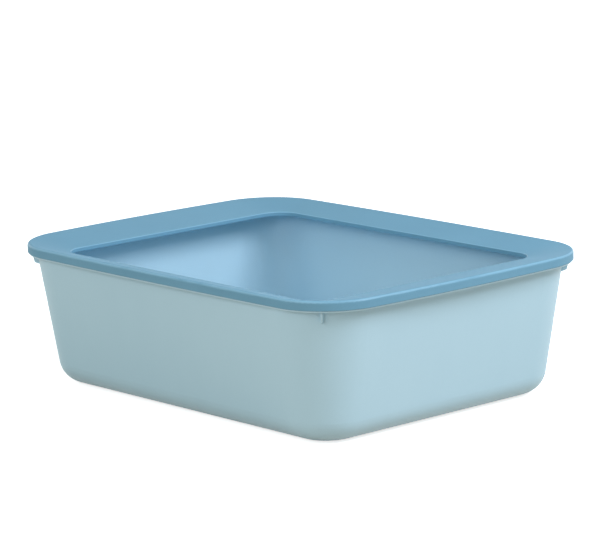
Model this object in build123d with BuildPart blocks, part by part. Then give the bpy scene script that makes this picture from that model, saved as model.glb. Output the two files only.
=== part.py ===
# Open cat litter tray: a deep tapered tub, a splash rim that presses down over the tub's lip,
# and four anti-slip pads under the base. Millimetres, +X along the tray's length, +Z up,
# origin on the floor under the middle of the tray.
import math
import os

from build123d import *

# Overall sizes of the assembled tray
tray_length = 507.0
tray_width = 385.0
tray_height = 150.0

# Splash rim
rim_wall = 2.2
skirt_height = 10.0
bow_ends = 7.0  # how far the two short sides swell outward at their middles
bow_sides = 4.0  # the same for the two long sides
rim_corner_radius = 68.0
rim_edge_round = 2.6
flange_ends = 57.0  # width of the sloped flange along the short sides
flange_sides = 40.0
flange_drop = 9.5  # fall of the flange from its outer to its inner edge
mouth_radius = 25.0
mouth_lip_height = 4.5
mouth_edge_round = 1.2
lower_edge_round = 0.7  # lower edges of the skirt, the mouth lip and the tub's lip

# Tub
tub_wall = 2.5
tub_floor = 3.2
draft = 9.1  # degrees off vertical
tub_corner_radius = 42.0  # outside, at the base
base_round = 26.0
lip_ends = 13.7  # from the rim's outer face to the tub's wall, at the short sides
lip_sides = 7.0
lip_plate = 2.3
lip_edge = 2.0  # thickness of the lip's down-turned edge
lip_peek = 1.7  # how far that edge shows below the skirt
bead_round = 0.5
bead_inset = 1.7  # from the skirt's outer face to the bead along the lip's lower edge
gusset_thickness = 2.0
gusset_reach = 14.2  # how far a gusset runs below the skirt
gusset_straight = 12.0  # length of its outer edge below the skirt
gusset_proud = 6.6  # how far it stands off the wall, under the lip
gusset_low = 5.4  # the same, at the lower end of its outer edge

# Base and pads
pad_diameter = 24.0
pad_depth = 1.4  # recess depth in the base
pad_stand = 1.0  # how far a pad stands out of the base
pad_groove_depth = 0.5
pad_groove_width = 1.4
pad_land = 3.0  # plain rubber outside and between the grooves
pad_edge_round = 0.4
panel_margin = 44.0  # from the flat of the base to the raised middle panel
panel_rise = 0.9

# Fits
lip_clearance = 0.5  # skirt to lip edge, all round
guide_clearance = 0.8  # guide wall to the inside of the tub
flange_clearance = 0.4  # underside of the flange to the lip's top face
pad_clearance = 0.1
bead_clearance = 0.25  # skirt's lower edge to the bead
guide_wall = 2.0
guide_depth = 8.0  # guide wall below the lip's top face
web_thickness = 1.8
web_pitch = 74.0

# Heights
slope = math.tan(math.radians(draft))
end_slope = math.atan(flange_drop / flange_ends)
round_loss = rim_edge_round * (math.tan(end_slope) + 1 / math.cos(end_slope) - 1)
rim_top = tray_height + round_loss  # sharp outer edge, before it is rounded down to the tray's height
skirt_bottom = tray_height - skirt_height
base_z = pad_stand
floor_z = base_z + tub_floor
lip_bottom = skirt_bottom - lip_peek
mouth_z = rim_top - flange_drop
wall_run = tub_wall / math.cos(math.radians(draft))
lip_fall = flange_drop * max((lip_ends + wall_run) / flange_ends, (lip_sides + wall_run) / flange_sides)
lip_top = rim_top - rim_wall - lip_fall - flange_clearance
guide_bottom = lip_top - guide_depth

# Tub outline at the lip and at the base
lip_half_x = tray_length / 2 - lip_ends
lip_half_y = tray_width / 2 - lip_sides
tub_rise = slope * (lip_top - base_z)
corner_x = lip_half_x - tub_rise - tub_corner_radius
corner_y = lip_half_y - tub_rise - tub_corner_radius
corners = [(sx, sy) for sx in (1, -1) for sy in (1, -1)]

os.makedirs("parts", exist_ok=True)


def wall_radius(z, inset=0.0):
    """Corner radius of the tub's drafted wall at height z, moved inward by inset."""
    return tub_corner_radius + slope * (z - base_z) - inset


def tub_outline(z, inset=0.0):
    """Rounded rectangle of the tub's wall at height z."""
    r = wall_radius(z, inset)
    with BuildSketch(Plane.XY.offset(z)) as outline:
        RectangleRounded(2 * (corner_x + r), 2 * (corner_y + r), r)
    return outline.sketch


def rim_outline(z, inset=0.0):
    """Bowed outline of the rim at height z, moved inward by inset."""
    x, y = tray_length / 2 - bow_ends - inset, tray_width / 2 - bow_sides - inset
    with BuildSketch(Plane.XY.offset(z)) as outline:
        with BuildLine():
            ThreePointArc((-x, -y), (0, -y - bow_sides), (x, -y))
            ThreePointArc((x, -y), (x + bow_ends, 0), (x, y))
            ThreePointArc((x, y), (0, y + bow_sides), (-x, y))
            ThreePointArc((-x, y), (-x - bow_ends, 0), (-x, -y))
        make_face()
        fillet(outline.vertices(), rim_corner_radius - inset)
    return outline.sketch


def mouth_outline(z, grow=0.0):
    """Rounded rectangle of the rim's mouth at height z, moved outward by grow."""
    with BuildSketch(Plane.XY.offset(z)) as outline:
        RectangleRounded(tray_length - 2 * flange_ends + 2 * grow,
                         tray_width - 2 * flange_sides + 2 * grow, mouth_radius + grow)
    return outline.sketch


def edges_at(builder, z):
    """Edges that lie flat at height z."""
    return builder.edges().filter_by_position(Axis.Z, z - 0.01, z + 0.01)


def at_mouth(edge):
    """True for an edge of the rim's mouth, false for one of its guide wall or skirt."""
    c = edge.center()
    return (abs(c.X) < tray_length / 2 - flange_ends + 2 * rim_wall
            and abs(c.Y) < tray_width / 2 - flange_sides + 2 * rim_wall)


# Space inside the tub
with BuildPart() as hollow:
    loft([tub_outline(floor_z, wall_run).face(), tub_outline(lip_top, wall_run).face()], ruled=True)
    fillet(hollow.edges().group_by(Axis.Z)[0], base_round - tub_wall)

# Gussets under the lip, one standing out of each rounded corner of the wall
lip_inset = rim_wall + lip_clearance
gusset_top = lip_top - lip_plate / 2
gusset_low_z = skirt_bottom - gusset_straight
gusset_foot = skirt_bottom - gusset_reach
with BuildPart() as gussets:
    for sx, sy in corners:
        with BuildSketch(Plane((sx * corner_x, sy * corner_y, 0), x_dir=(sx, sy, 0), z_dir=(sy, -sx, 0))):
            with BuildLine():
                Polyline((wall_radius(gusset_top) - 1, gusset_top),
                         (wall_radius(gusset_top) + rim_corner_radius, gusset_top),
                         (wall_radius(lip_bottom) + rim_corner_radius, lip_bottom),
                         (wall_radius(lip_bottom) + gusset_proud, lip_bottom),
                         (wall_radius(gusset_low_z) + gusset_low, gusset_low_z),
                         (wall_radius(gusset_foot), gusset_foot),
                         (wall_radius(gusset_foot) - 1, gusset_foot), close=True)
            make_face()
        extrude(amount=gusset_thickness / 2, both=True)
    extrude(rim_outline(gusset_foot, lip_inset + lip_edge / 2), amount=lip_top - gusset_foot, dir=(0, 0, 1),
            mode=Mode.INTERSECT)

# Tub: drafted walls, rounded bottom edge, out-turned lip with a bead, and gussets in one moulding
with BuildPart() as tub:
    loft([tub_outline(base_z).face(), tub_outline(lip_top).face()], ruled=True)
    fillet(tub.edges().group_by(Axis.Z)[0], base_round)
    extrude(rim_outline(lip_top - lip_plate, lip_inset), amount=lip_plate, dir=(0, 0, 1))
    extrude(rim_outline(lip_bottom, lip_inset) - rim_outline(lip_bottom, lip_inset + lip_edge),
            amount=lip_top - lip_bottom, dir=(0, 0, 1))
    extrude(rim_outline(lip_bottom, bead_inset) - rim_outline(lip_bottom, lip_inset + lip_edge / 2),
            amount=lip_peek - bead_clearance, dir=(0, 0, 1))
    fillet(edges_at(tub, lip_bottom), bead_round)
    add(gussets.part)
    add(hollow.part, mode=Mode.SUBTRACT)
    with BuildSketch(Plane.XY.offset(base_z)):
        RectangleRounded(2 * (corner_x + tub_corner_radius - panel_margin),
                         2 * (corner_y + tub_corner_radius - panel_margin), tub_corner_radius)
    extrude(amount=panel_rise, mode=Mode.SUBTRACT)
    with BuildSketch(Plane.XY.offset(base_z)):
        with Locations([(sx * corner_x, sy * corner_y) for sx, sy in corners]):
            Circle(pad_diameter / 2)
    extrude(amount=pad_depth, mode=Mode.SUBTRACT)
tub.part.label = "tub"
export_step(tub.part, "parts/tub.step")

# Anti-slip pads, one pressed into each recess of the base
pad_names = {(1, 1): "back_right", (1, -1): "front_right", (-1, 1): "back_left", (-1, -1): "front_left"}
for (sx, sy), place in pad_names.items():
    pad_radius = pad_diameter / 2 - pad_clearance
    with BuildPart() as pad:
        with BuildSketch():
            with Locations((sx * corner_x, sy * corner_y)):
                Circle(pad_radius)
        extrude(amount=pad_stand + pad_depth)
        fillet(pad.edges().group_by(Axis.Z)[0], pad_edge_round)
        with BuildSketch():
            with Locations((sx * corner_x, sy * corner_y)):
                for ring in range(2):
                    groove_radius = pad_radius - pad_land - ring * (pad_land + pad_groove_width)
                    Circle(groove_radius)
                    Circle(groove_radius - pad_groove_width, mode=Mode.SUBTRACT)
        extrude(amount=pad_groove_depth, mode=Mode.SUBTRACT)
    pad.part.label = "foot_pad_" + place
    export_step(pad.part, "parts/foot_pad_" + place + ".step")

# Space above the rim's sloped flange
with BuildPart() as bowl:
    loft([mouth_outline(mouth_z).face(), rim_outline(rim_top).face()], ruled=True)

# Short webs under the flange that stand on the tub's lip
guide_radius = wall_radius(guide_bottom, wall_run + guide_clearance)
guide_mid_x = corner_x + guide_radius - guide_wall / 2
guide_mid_y = corner_y + guide_radius - guide_wall / 2
reach_x = tray_length / 2 - guide_mid_x
reach_y = tray_width / 2 - guide_mid_y
webs_long = int(2 * corner_x / web_pitch) + 1
webs_short = int(2 * corner_y / web_pitch) + 1
with BuildPart() as webs:
    with BuildSketch(Plane.XY.offset(lip_top)):
        with GridLocations(web_pitch, 2 * guide_mid_y + reach_y, webs_long, 2):
            Rectangle(web_thickness, reach_y)
        with GridLocations(2 * guide_mid_x + reach_x, web_pitch, 2, webs_short):
            Rectangle(reach_x, web_thickness)
    extrude(amount=rim_top - lip_top)
    extrude(rim_outline(lip_top, rim_wall / 2), amount=rim_top - lip_top, dir=(0, 0, 1),
            mode=Mode.INTERSECT)

# Rim: skirt, sloped flange, down-turned mouth edge, guide wall and webs in one moulding
with BuildPart() as rim:
    loft([mouth_outline(mouth_z - rim_wall).face(), rim_outline(rim_top - rim_wall).face()], ruled=True)
    extrude(rim_outline(rim_top - rim_wall), amount=rim_wall, dir=(0, 0, 1))
    extrude(rim_outline(skirt_bottom) - rim_outline(skirt_bottom, rim_wall), amount=rim_top - skirt_bottom,
            dir=(0, 0, 1))
    lip_z = mouth_z - mouth_lip_height
    extrude(mouth_outline(lip_z, rim_wall) - mouth_outline(lip_z), amount=mouth_lip_height, dir=(0, 0, 1))
    with BuildSketch(Plane.XY.offset(guide_bottom)):
        for inset in (0, guide_wall):
            RectangleRounded(2 * (corner_x + guide_radius - inset), 2 * (corner_y + guide_radius - inset),
                             guide_radius - inset, mode=Mode.SUBTRACT if inset else Mode.ADD)
    extrude(amount=rim_top - guide_bottom)
    add(webs.part)
    add(bowl.part, mode=Mode.SUBTRACT)
    extrude(mouth_outline(lip_z), amount=rim_top - lip_z, dir=(0, 0, 1), mode=Mode.SUBTRACT)
    fillet(rim.edges().group_by(Axis.Z)[-1], rim_edge_round)
    fillet(edges_at(rim, mouth_z).filter_by(at_mouth), mouth_edge_round)
    fillet(edges_at(rim, lip_z).filter_by(at_mouth), lower_edge_round)
    fillet(edges_at(rim, skirt_bottom).filter_by(at_mouth, reverse=True), lower_edge_round)
rim.part.label = "rim"
export_step(rim.part, "parts/rim.step")
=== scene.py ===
import math
import bpy
from mathutils import Matrix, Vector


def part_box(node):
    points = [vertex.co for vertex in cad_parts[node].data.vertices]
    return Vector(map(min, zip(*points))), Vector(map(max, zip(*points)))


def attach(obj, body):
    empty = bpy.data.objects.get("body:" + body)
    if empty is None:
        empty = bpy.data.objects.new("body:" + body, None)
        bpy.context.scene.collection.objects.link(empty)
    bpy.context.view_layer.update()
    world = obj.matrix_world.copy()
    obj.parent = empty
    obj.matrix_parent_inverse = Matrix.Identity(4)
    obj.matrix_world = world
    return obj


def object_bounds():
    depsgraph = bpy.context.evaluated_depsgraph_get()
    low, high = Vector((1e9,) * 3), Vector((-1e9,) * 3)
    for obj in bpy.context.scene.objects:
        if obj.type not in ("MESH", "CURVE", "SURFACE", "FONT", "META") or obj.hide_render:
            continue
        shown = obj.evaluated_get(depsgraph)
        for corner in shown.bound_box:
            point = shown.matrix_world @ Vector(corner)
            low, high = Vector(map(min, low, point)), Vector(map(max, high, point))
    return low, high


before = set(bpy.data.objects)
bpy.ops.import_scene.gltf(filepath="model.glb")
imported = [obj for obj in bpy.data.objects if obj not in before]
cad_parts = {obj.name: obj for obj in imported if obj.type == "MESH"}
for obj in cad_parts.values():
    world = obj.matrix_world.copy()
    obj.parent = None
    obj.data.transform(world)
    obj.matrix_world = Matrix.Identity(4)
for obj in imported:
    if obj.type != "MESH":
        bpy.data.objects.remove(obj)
cad_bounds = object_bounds()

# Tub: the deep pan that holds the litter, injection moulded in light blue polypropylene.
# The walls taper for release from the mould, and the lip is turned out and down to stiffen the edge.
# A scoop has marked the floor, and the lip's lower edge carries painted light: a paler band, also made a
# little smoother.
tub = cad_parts["tub"]
tub_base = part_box("tub")[0][2]
floor_thickness = 0.0032
floor_top = tub_base + floor_thickness
scoop_reach = 0.012
scuff_full = 0.012
scuff_top = 0.035
lip_edge_bottom = 0.1383
lip_edge_top = 0.1398
lip_edge_fade = 0.0003
tub_deep_blue = (0.395, 0.608, 0.735, 1.0)
tub_pale_blue = (0.514, 0.728, 0.846, 1.0)
tub_roughness = 0.40
tub_gloss = 0.4
tub_relief = 0.00006


def new_material(name):
    """An empty procedural material: its node tree, its shader and the piece's own coordinates."""
    material = bpy.data.materials.new(name)
    material.use_nodes = True
    tree = material.node_tree
    coordinates = tree.nodes.new("ShaderNodeTexCoord")
    return material, tree, tree.nodes["Principled BSDF"], coordinates.outputs


def upright(tree, vector):
    """The Z part of a place or of a direction."""
    axes = tree.nodes.new("ShaderNodeSeparateXYZ")
    tree.links.new(vector, axes.inputs["Vector"])
    return axes.outputs["Z"]


def cloud(tree, place, waves, detail=2.0, stretch=(1.0, 1.0, 1.0), turn=0.0):
    """Noise of so many waves per metre, made finer along the piece's axes by stretch.

    The turn comes after the stretch, so it gives another pattern and not another direction.
    """
    mapping = tree.nodes.new("ShaderNodeMapping")
    mapping.inputs["Rotation"].default_value = (0.0, 0.0, turn)
    mapping.inputs["Scale"].default_value = stretch
    tree.links.new(place, mapping.inputs["Vector"])
    noise = tree.nodes.new("ShaderNodeTexNoise")
    noise.inputs["Scale"].default_value = waves
    noise.inputs["Detail"].default_value = detail
    tree.links.new(mapping.outputs["Vector"], noise.inputs["Vector"])
    return noise.outputs["Fac"]


def between(tree, value, none, full):
    """A smooth change from nought, where the value is at none, to one, where it is at full."""
    rise = tree.nodes.new("ShaderNodeMapRange")
    rise.interpolation_type = "SMOOTHSTEP"
    rise.inputs["From Min"].default_value = min(none, full)
    rise.inputs["From Max"].default_value = max(none, full)
    rise.inputs["To Min"].default_value = 0.0 if none < full else 1.0
    rise.inputs["To Max"].default_value = 1.0 if none < full else 0.0
    tree.links.new(value, rise.inputs["Value"])
    return rise.outputs["Result"]


def product(tree, *values):
    """The values multiplied together."""
    total = values[0]
    for value in values[1:]:
        times = tree.nodes.new("ShaderNodeMath")
        times.operation = "MULTIPLY"
        tree.links.new(total, times.inputs[0])
        tree.links.new(value, times.inputs[1])
        total = times.outputs["Value"]
    return total


def weighed(tree, start, *layers):
    """A start value plus each layer times its weight."""
    total = start
    for weight, layer in layers:
        add = tree.nodes.new("ShaderNodeMath")
        add.operation = "MULTIPLY_ADD"
        tree.links.new(layer, add.inputs[0])
        add.inputs[1].default_value = weight
        if isinstance(total, float):
            add.inputs[2].default_value = total
        else:
            tree.links.new(total, add.inputs[2])
        total = add.outputs["Value"]
    return total


def dye(tree, shader, tone, deep, pale):
    """The base colour, from the deep shade where tone is nought to the pale one where it is one."""
    ramp = tree.nodes.new("ShaderNodeValToRGB")
    ramp.color_ramp.elements[0].color = deep
    ramp.color_ramp.elements[1].color = pale
    tree.links.new(tone, ramp.inputs["Fac"])
    tree.links.new(ramp.outputs["Color"], shader.inputs["Base Color"])


def relief(tree, shader, height, depth):
    """Fine relief of the given depth in metres."""
    bump = tree.nodes.new("ShaderNodeBump")
    bump.inputs["Strength"].default_value = 1.0
    bump.inputs["Distance"].default_value = depth
    tree.links.new(height, bump.inputs["Height"])
    tree.links.new(bump.outputs["Normal"], shader.inputs["Normal"])


def scratches(tree, place, turn, waves, fine=85.0, sway=0.03):
    """Thin marks along the piece's length, a little bent: long crests of noise, broken into strokes."""
    drift = tree.nodes.new("ShaderNodeTexNoise")
    drift.inputs["Scale"].default_value = waves / 2
    tree.links.new(place, drift.inputs["Vector"])
    bent = tree.nodes.new("ShaderNodeVectorMath")
    bent.operation = "MULTIPLY_ADD"
    tree.links.new(drift.outputs["Color"], bent.inputs[0])
    bent.inputs[1].default_value = (sway, sway, 0.0)
    tree.links.new(place, bent.inputs[2])
    drawn = cloud(tree, bent.outputs["Vector"], waves, detail=1.0, stretch=(1.0, fine, 1.0), turn=turn)
    strokes = cloud(tree, place, waves, stretch=(1.0, 1.6, 1.0), turn=turn)
    return product(tree, between(tree, drawn, none=0.62, full=0.70),
                   between(tree, strokes, none=0.46, full=0.60))


def coat(node, material):
    """Gives a piece of the frame its one material."""
    node.data.materials.clear()
    node.data.materials.append(material)


tub_plastic, tree, shader, coordinates = new_material("tub_polypropylene")
place = coordinates["Object"]
height = upright(tree, place)
facing_up = upright(tree, coordinates["Normal"])
blotches = cloud(tree, place, waves=6.0)
flow = cloud(tree, place, waves=4.0, detail=3.0, stretch=(9.0, 9.0, 0.6))
pigment = cloud(tree, place, waves=900.0, detail=3.0)
spark = cloud(tree, place, waves=2600.0)
peel = cloud(tree, place, waves=70.0, detail=1.0)
on_floor = product(tree, between(tree, facing_up, none=0.6, full=0.95),
                   between(tree, height, none=floor_top + scoop_reach, full=floor_top))
scoop_strokes = weighed(tree, 0.0, (0.7, scratches(tree, place, turn=0.35, waves=8.0)),
                        (0.6, scratches(tree, place, turn=-0.45, waves=10.0)),
                        (0.6, scratches(tree, place, turn=1.3, waves=9.0)))
scoop_marks = product(tree, on_floor, scoop_strokes)
streaks = cloud(tree, place, waves=8.0, detail=3.0, stretch=(1.0, 1.0, 22.0))
scuffs = product(tree, between(tree, height, none=scuff_top, full=scuff_full),
                 between(tree, streaks, none=0.60, full=0.70))
outward = tree.nodes.new("ShaderNodeVectorMath")
outward.operation = "DOT_PRODUCT"
tree.links.new(place, outward.inputs[0])
tree.links.new(coordinates["Normal"], outward.inputs[1])
# Painted light: the outward face of the lip's lower edge is dyed paler to stand for light falling on it,
# and is made a little smoother.
lip_edge_polish_and_painted_light = product(tree, between(tree, outward.outputs["Value"], none=0.0, full=0.02),
                  between(tree, height, none=lip_edge_bottom - lip_edge_fade, full=lip_edge_bottom),
                  between(tree, height, none=lip_edge_top + lip_edge_fade, full=lip_edge_top))
tone = weighed(tree, 0.03, (0.40, blotches), (0.14, flow), (0.34, pigment), (0.50, scoop_marks),
               (0.10, scuffs), (0.60, lip_edge_polish_and_painted_light))
dye(tree, shader, tone, tub_deep_blue, tub_pale_blue)
roughness = weighed(tree, tub_roughness, (0.10, blotches), (0.06, pigment), (0.20, scoop_marks),
                    (0.10, scuffs), (-0.12, lip_edge_polish_and_painted_light))
tree.links.new(roughness, shader.inputs["Roughness"])
shader.inputs["Specular IOR Level"].default_value = tub_gloss
skin = weighed(tree, 0.0, (0.16, spark), (0.60, peel), (-0.5, scoop_marks), (-0.3, scuffs))
relief(tree, shader, skin, tub_relief)
coat(tub, tub_plastic)

# Mould marks of the tub: fine turned circles that the core's air valve leaves in the middle of the floor,
# and the trimmed stub of the gate under the middle of the base.
# Both are of the tub's own plastic, moulded with it, and stand a fraction of a millimetre proud.
valve_rings = 5
valve_radius = 0.0060
valve_step = 0.0034
valve_ridge = 0.00022
ring_points = 96
ridge_points = 8
gate_radius = 0.0024
gate_tip_radius = 0.0019
gate_stub = 0.0006
gate_root = 0.0004
gate_points = 24
panel_rise = 0.0009
panel_underside = tub_base + panel_rise


def node_tree(name, *inputs):
    """An empty Geometry Nodes tree with the named inputs and one geometry output."""
    tree = bpy.data.node_groups.new(name, "GeometryNodeTree")
    tree.interface.new_socket("Geometry", in_out="OUTPUT", socket_type="NodeSocketGeometry")
    for label, kind in inputs:
        tree.interface.new_socket(label, in_out="INPUT", socket_type="NodeSocket" + kind)
    return tree, tree.nodes.new("NodeGroupInput").outputs


def step(tree, kind, mode=None, **sockets):
    """A node of a tree, each named socket linked to another node's output or set to a value."""
    made = tree.nodes.new(kind)
    if mode:
        made.mode = mode
    for label, value in sockets.items():
        socket = made.inputs[label.replace("_", " ")]
        if isinstance(value, bpy.types.NodeSocket):
            tree.links.new(value, socket)
        else:
            socket.default_value = value
    return made


def combined(tree, operation, *values):
    """A number worked out from the tree's own sizes."""
    made = tree.nodes.new("ShaderNodeMath")
    made.operation = operation
    for socket, value in zip(made.inputs, values):
        if isinstance(value, bpy.types.NodeSocket):
            tree.links.new(value, socket)
        else:
            socket.default_value = value
    return made.outputs["Value"]


def raised(tree, geometry, height):
    """The geometry moved up to a height."""
    lift = step(tree, "ShaderNodeCombineXYZ", Z=height)
    moved = step(tree, "GeometryNodeTransform", Geometry=geometry, Translation=lift.outputs["Vector"])
    return moved.outputs["Geometry"]


def close_tree(tree, geometry, material):
    """The end of a tree: real geometry in one material."""
    real = step(tree, "GeometryNodeRealizeInstances", Geometry=geometry)
    dressed = step(tree, "GeometryNodeSetMaterial", Geometry=real.outputs["Geometry"], Material=material)
    tree.links.new(dressed.outputs["Geometry"], tree.nodes.new("NodeGroupOutput").inputs["Geometry"])


def grown(name, tree, **sizes):
    """The piece that a tree makes with these sizes, as a plain mesh."""
    piece = bpy.data.objects.new(name, bpy.data.meshes.new(name))
    bpy.context.scene.collection.objects.link(piece)
    modifier = piece.modifiers.new(name, "NODES")
    modifier.node_group = tree
    for socket in tree.interface.items_tree:
        if socket.in_out == "INPUT":
            modifier[socket.identifier] = sizes[socket.name.replace(" ", "_")]
    depsgraph = bpy.context.evaluated_depsgraph_get()
    mesh = bpy.data.meshes.new_from_object(piece.evaluated_get(depsgraph), depsgraph=depsgraph)
    piece.modifiers.clear()
    piece.data = mesh
    mesh.name = name
    return piece


tree, size = node_tree("tub_mould_marks", ("Rings", "Int"), ("First Radius", "Float"),
                       ("Ring Step", "Float"), ("Ridge", "Float"), ("Floor Height", "Float"),
                       ("Gate Radius", "Float"), ("Gate Tip Radius", "Float"), ("Gate Length", "Float"),
                       ("Gate Height", "Float"), ("Plastic", "Material"))
centres = step(tree, "GeometryNodeMeshLine", Count=size["Rings"], Offset=(0.0, 0.0, 0.0))
ring = step(tree, "GeometryNodeCurvePrimitiveCircle", Resolution=ring_points, Radius=1.0)
ring_number = tree.nodes.new("GeometryNodeInputIndex").outputs["Index"]
ring_radius = combined(tree, "MULTIPLY_ADD", ring_number, size["Ring Step"], size["First Radius"])
rings = step(tree, "GeometryNodeInstanceOnPoints", Points=centres.outputs["Mesh"],
             Instance=ring.outputs["Curve"], Scale=ring_radius)
ring_curves = step(tree, "GeometryNodeRealizeInstances", Geometry=rings.outputs["Instances"])
ridge = step(tree, "GeometryNodeCurvePrimitiveCircle", Resolution=ridge_points, Radius=size["Ridge"])
ridges = step(tree, "GeometryNodeCurveToMesh", Curve=ring_curves.outputs["Geometry"],
              Profile_Curve=ridge.outputs["Curve"])
stub = step(tree, "GeometryNodeMeshCone", Vertices=gate_points, Radius_Top=size["Gate Radius"],
            Radius_Bottom=size["Gate Tip Radius"], Depth=size["Gate Length"])
marks = tree.nodes.new("GeometryNodeJoinGeometry")
tree.links.new(raised(tree, ridges.outputs["Mesh"], size["Floor Height"]), marks.inputs["Geometry"])
tree.links.new(raised(tree, stub.outputs["Mesh"], size["Gate Height"]), marks.inputs["Geometry"])
close_tree(tree, marks.outputs["Geometry"], size["Plastic"])
tub_mould_marks = grown("tub_mould_marks", tree, Rings=valve_rings, First_Radius=valve_radius,
                        Ring_Step=valve_step, Ridge=valve_ridge, Floor_Height=floor_top,
                        Gate_Radius=gate_radius, Gate_Tip_Radius=gate_tip_radius,
                        Gate_Length=gate_stub + gate_root, Gate_Height=panel_underside - gate_stub,
                        Plastic=tub_plastic)
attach(tub_mould_marks, "tub")

# Foot pads: four soft grey rubber discs with two tread grooves each.
# They are moulded apart from the tub and pressed into shallow recesses under its corners.
pad_dark_grey = (0.060, 0.072, 0.080, 1.0)
pad_worn_grey = (0.165, 0.185, 0.195, 1.0)
pad_tread = 0.0006
pad_roughness = 0.62
pad_gloss = 0.35
pad_relief = 0.00012
pad_rubber, tree, shader, coordinates = new_material("pad_rubber")
place = coordinates["Object"]
mottle = cloud(tree, place, waves=140.0, detail=4.0)
crumb = cloud(tree, place, waves=1500.0, detail=3.0)
dust = product(tree, between(tree, upright(tree, place), none=pad_tread, full=0.0),
               cloud(tree, place, waves=220.0, detail=3.0))
tone = weighed(tree, -0.15, (0.55, mottle), (0.30, crumb), (0.55, dust))
dye(tree, shader, tone, pad_dark_grey, pad_worn_grey)
roughness = weighed(tree, pad_roughness, (0.20, mottle), (0.15, dust))
tree.links.new(roughness, shader.inputs["Roughness"])
shader.inputs["Specular IOR Level"].default_value = pad_gloss
relief(tree, shader, weighed(tree, 0.0, (0.6, crumb), (0.4, mottle)), pad_relief)
for name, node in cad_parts.items():
    if name.startswith("foot_pad_"):
        coat(node, pad_rubber)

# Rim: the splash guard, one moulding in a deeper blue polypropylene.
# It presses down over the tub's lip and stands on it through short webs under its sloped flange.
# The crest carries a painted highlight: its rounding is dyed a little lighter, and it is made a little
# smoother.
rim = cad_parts["rim"]
rim_deep_blue = (0.079, 0.229, 0.350, 1.0)
rim_pale_blue = (0.221, 0.441, 0.597, 1.0)
rim_roughness = 0.51
rim_gloss = 0.25
rim_relief = 0.00006
rim_plastic, tree, shader, coordinates = new_material("rim_polypropylene")
place = coordinates["Object"]
facing_up = upright(tree, coordinates["Normal"])
blotches = cloud(tree, place, waves=9.0)
flow = cloud(tree, place, waves=5.0, detail=3.0, stretch=(2.0, 2.0, 14.0))
pigment = cloud(tree, place, waves=1000.0, detail=3.0)
spark = cloud(tree, place, waves=2600.0)
peel = cloud(tree, place, waves=80.0, detail=1.0)
patchy = cloud(tree, place, waves=30.0, detail=3.0)
# Painted highlight: the crest's rounding, between upright and outward facing normals, is dyed lighter to
# stand for its highlight, and is made smoother.
crest_polish_and_painted_highlight = product(tree, between(tree, facing_up, none=0.15, full=0.50),
                  between(tree, facing_up, none=0.96, full=0.88),
                  between(tree, patchy, none=0.15, full=0.50))
rubbed = product(tree, scratches(tree, place, turn=0.5, waves=9.0, fine=70.0),
                 between(tree, cloud(tree, place, waves=12.0), none=0.50, full=0.70))
tone = weighed(tree, 0.19, (0.24, blotches), (0.16, flow), (0.22, pigment), (0.50, crest_polish_and_painted_highlight),
               (0.06, rubbed))
dye(tree, shader, tone, rim_deep_blue, rim_pale_blue)
roughness = weighed(tree, rim_roughness, (0.10, blotches), (0.06, pigment), (-0.26, crest_polish_and_painted_highlight),
                    (0.06, rubbed))
tree.links.new(roughness, shader.inputs["Roughness"])
shader.inputs["Specular IOR Level"].default_value = rim_gloss
skin = weighed(tree, 0.0, (0.14, spark), (0.55, peel), (-0.25, rubbed))
relief(tree, shader, skin, rim_relief)
coat(rim, rim_plastic)

# Ejector marks of the rim: the round witness of each pin that pushed the moulding off its core.
# They go round under the flange, between the mouth and the guide wall, in the rim's own plastic.
# Each is a fine raised ring about a flat disc that lies a little lower than the ring.
pin_count = 18
pin_radius = 0.0032
pin_flash = 0.0004
pin_proud = 0.00022
pin_sink = 0.00018
pin_points = 24
pin_path_length = 0.432
pin_path_width = 0.334
pin_path_corner = 0.043
pin_path_height = 0.100
pin_path_corner_points = 12
pin_travel = 0.1
tree, size = node_tree("rim_ejector_marks", ("Count", "Int"), ("Pin Radius", "Float"), ("Flash", "Float"),
                       ("Proud", "Float"), ("Sink", "Float"), ("Path Length", "Float"),
                       ("Path Width", "Float"), ("Path Corner", "Float"), ("Path Height", "Float"),
                       ("Rim", "Object"), ("Plastic", "Material"))
outline = step(tree, "GeometryNodeCurvePrimitiveQuadrilateral", Width=size["Path Length"],
               Height=size["Path Width"])
path = step(tree, "GeometryNodeFilletCurve", "POLY", Curve=outline.outputs["Curve"],
            Count=pin_path_corner_points, Radius=size["Path Corner"])
stops = step(tree, "GeometryNodeResampleCurve", Curve=path.outputs["Curve"], Count=size["Count"])
starts = step(tree, "GeometryNodeCurveToPoints", "EVALUATED",
              Curve=raised(tree, stops.outputs["Curve"], size["Path Height"]))
moulding = step(tree, "GeometryNodeObjectInfo", Object=size["Rim"])
upward = step(tree, "GeometryNodeRaycast", Target_Geometry=moulding.outputs["Geometry"],
              Ray_Direction=(0.0, 0.0, 1.0), Ray_Length=pin_travel)
held = tree.nodes.new("GeometryNodeCaptureAttribute")
held.capture_items.new("VECTOR", "Facing")
tree.links.new(starts.outputs["Points"], held.inputs["Geometry"])
tree.links.new(upward.outputs["Hit Normal"], held.inputs["Facing"])
seats = step(tree, "GeometryNodeSetPosition", Geometry=held.outputs["Geometry"],
             Position=upward.outputs["Hit Position"])
turned = step(tree, "FunctionNodeAlignRotationToVector", Vector=held.outputs["Facing"])
turned.axis = "Z"
ring_outside = combined(tree, "ADD", size["Pin Radius"], size["Flash"])
blank = step(tree, "GeometryNodeMeshCylinder", Vertices=pin_points, Radius=ring_outside,
             Depth=combined(tree, "MULTIPLY", size["Proud"], 2.0))
inner = step(tree, "GeometryNodeExtrudeMesh", Mesh=blank.outputs["Mesh"], Selection=blank.outputs["Top"],
             Offset_Scale=0.0)
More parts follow.
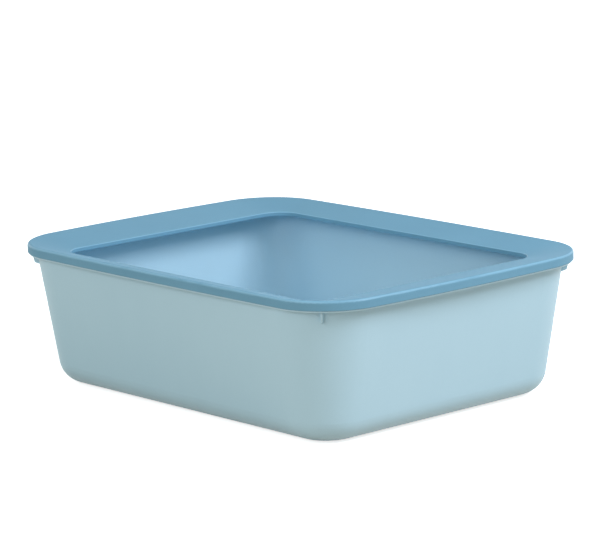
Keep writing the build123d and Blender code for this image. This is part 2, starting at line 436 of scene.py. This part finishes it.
drawn_in = step(tree, "GeometryNodeScaleElements", Geometry=inner.outputs["Mesh"],
                Selection=inner.outputs["Top"],
                Scale=combined(tree, "DIVIDE", size["Pin Radius"], ring_outside))
witness = step(tree, "GeometryNodeExtrudeMesh", Mesh=drawn_in.outputs["Geometry"],
               Selection=inner.outputs["Top"],
               Offset_Scale=combined(tree, "MULTIPLY", size["Sink"], -1.0))
pins = step(tree, "GeometryNodeInstanceOnPoints", Points=seats.outputs["Geometry"],
            Instance=witness.outputs["Mesh"], Rotation=turned.outputs["Rotation"])
close_tree(tree, pins.outputs["Instances"], size["Plastic"])
rim_ejector_marks = grown("rim_ejector_marks", tree, Count=pin_count, Pin_Radius=pin_radius,
                          Flash=pin_flash, Proud=pin_proud, Sink=pin_sink, Path_Length=pin_path_length,
                          Path_Width=pin_path_width, Path_Corner=pin_path_corner,
                          Path_Height=pin_path_height, Rim=rim, Plastic=rim_plastic)
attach(rim_ejector_marks, "rim")

# Studio: a plain white floor that keeps the tray's shadow and a surround that shows as white,
# with four soft lamps and a long lens that looks at the tray's near corner from a low angle.
floor_reach = 6.0
floor_z = -0.0003
paper_glow = 0.74
paper_white = (0.85, 0.85, 0.85, 1.0)
paper_warm_grey = (0.53, 0.44, 0.345, 1.0)
surround_tint = (0.864, 1.0, 0.979, 1.0)
surround_strength = 0.49
tray_middle = (cad_bounds[0][2] + cad_bounds[1][2]) / 2
floor_mesh = bpy.data.meshes.new("floor")
floor_mesh.from_pydata([(-floor_reach, -floor_reach, floor_z), (floor_reach, -floor_reach, floor_z),
                        (floor_reach, floor_reach, floor_z), (-floor_reach, floor_reach, floor_z)],
                       [], [(0, 1, 2, 3)])
floor = bpy.data.objects.new("floor", floor_mesh)
bpy.context.scene.collection.objects.link(floor)


def bare_tree(owner):
    """The emptied node tree of a material or a world."""
    owner.use_nodes = True
    owner.node_tree.nodes.clear()
    return owner.node_tree


def seen_or_lit(tree, seen, lit, output):
    """Shows one shader to the camera and in what reflects or is clear, and lights with the other."""
    path = tree.nodes.new("ShaderNodeLightPath")
    rays = path.outputs["Is Camera Ray"]
    for other in ("Is Glossy Ray", "Is Transmission Ray"):
        either = tree.nodes.new("ShaderNodeMath")
        either.operation = "MAXIMUM"
        tree.links.new(rays, either.inputs[0])
        tree.links.new(path.outputs[other], either.inputs[1])
        rays = either.outputs["Value"]
    mix = tree.nodes.new("ShaderNodeMixShader")
    tree.links.new(rays, mix.inputs["Fac"])
    tree.links.new(lit, mix.inputs[1])
    tree.links.new(seen, mix.inputs[2])
    tree.links.new(mix.outputs["Shader"], output.inputs["Surface"])


paper = bpy.data.materials.new("floor_paper")
tree = bare_tree(paper)
glow = tree.nodes.new("ShaderNodeEmission")
glow.inputs["Strength"].default_value = paper_glow
matt = tree.nodes.new("ShaderNodeBsdfDiffuse")
matt.inputs["Color"].default_value = paper_white
white_paper = tree.nodes.new("ShaderNodeAddShader")
tree.links.new(glow.outputs["Emission"], white_paper.inputs[0])
tree.links.new(matt.outputs["BSDF"], white_paper.inputs[1])
grey_paper = tree.nodes.new("ShaderNodeBsdfDiffuse")
grey_paper.inputs["Color"].default_value = paper_warm_grey
seen_or_lit(tree, white_paper.outputs["Shader"], grey_paper.outputs["BSDF"],
            tree.nodes.new("ShaderNodeOutputMaterial"))
floor_mesh.materials.append(paper)

world = bpy.data.worlds.new("studio")
bpy.context.scene.world = world
tree = bare_tree(world)
white = tree.nodes.new("ShaderNodeBackground")
white.inputs["Color"].default_value = (1.0, 1.0, 1.0, 1.0)
surround = tree.nodes.new("ShaderNodeBackground")
surround.inputs["Color"].default_value = surround_tint
surround.inputs["Strength"].default_value = surround_strength
seen_or_lit(tree, white.outputs["Background"], surround.outputs["Background"],
            tree.nodes.new("ShaderNodeOutputWorld"))


def around(azimuth, elevation, distance, height):
    """A place so far from a point at that height on the tray's axis. Azimuth 0 is the front."""
    return (distance * math.sin(azimuth) * math.cos(elevation),
            -distance * math.cos(azimuth) * math.cos(elevation),
            height + distance * math.sin(elevation))


def lamp(name, azimuth, elevation, distance, width, watts, colour, shine=True):
    """A square soft lamp aimed at the middle of the tray, out of sight, with or without a highlight."""
    turn = math.radians(azimuth)
    rise = math.radians(elevation)
    light = bpy.data.lights.new(name, "AREA")
    light.shape = "SQUARE"
    light.size = width
    light.energy = watts
    light.color = colour
    stand = bpy.data.objects.new(name, light)
    stand.location = around(turn, rise, distance, tray_middle)
    stand.rotation_euler = (math.pi / 2 - rise, 0.0, turn)
    stand.visible_camera = False
    stand.visible_glossy = shine
    bpy.context.scene.collection.objects.link(stand)


lamp("right_lamp", azimuth=110, elevation=41, distance=2.2, width=1.0, watts=32.4,
     colour=(0.939, 0.932, 1.0))
lamp("front_lamp", azimuth=22, elevation=22, distance=2.4, width=0.8, watts=9.2,
     colour=(1.0, 0.939, 0.942))
lamp("left_lamp", azimuth=-12, elevation=32, distance=2.4, width=1.0, watts=7.6,
     colour=(1.0, 0.949, 0.92))
lamp("back_lamp", azimuth=225, elevation=9, distance=2.4, width=0.7, watts=10.0,
     colour=(0.9, 0.97, 1.0), shine=False)

photo_width = 600
focal_pixels = 3269
up_pixels = 47
left_pixels = 2
look_azimuth = math.radians(48.3)
look_elevation = math.radians(12.3)
look_distance = 3.381
look_height = 0.07
look_roll = math.radians(-1.46)
lens = bpy.data.cameras.new("camera")
lens.sensor_fit = "HORIZONTAL"
lens.sensor_width = 36.0
lens.lens = lens.sensor_width * focal_pixels / photo_width
camera = bpy.data.objects.new("camera", lens)
camera.location = around(look_azimuth, look_elevation, look_distance, look_height)
aim = (Matrix.Rotation(look_azimuth, 3, "Z") @ Matrix.Rotation(math.pi / 2 - look_elevation, 3, "X")
       @ Matrix.Rotation(look_roll, 3, "Z") @ Matrix.Rotation(math.atan2(up_pixels, focal_pixels), 3, "X")
       @ Matrix.Rotation(-math.atan2(left_pixels, focal_pixels), 3, "Y"))
camera.rotation_euler = aim.to_euler()
bpy.context.scene.collection.objects.link(camera)
bpy.context.scene.camera = camera
bpy.context.scene.view_settings.view_transform = "Standard"
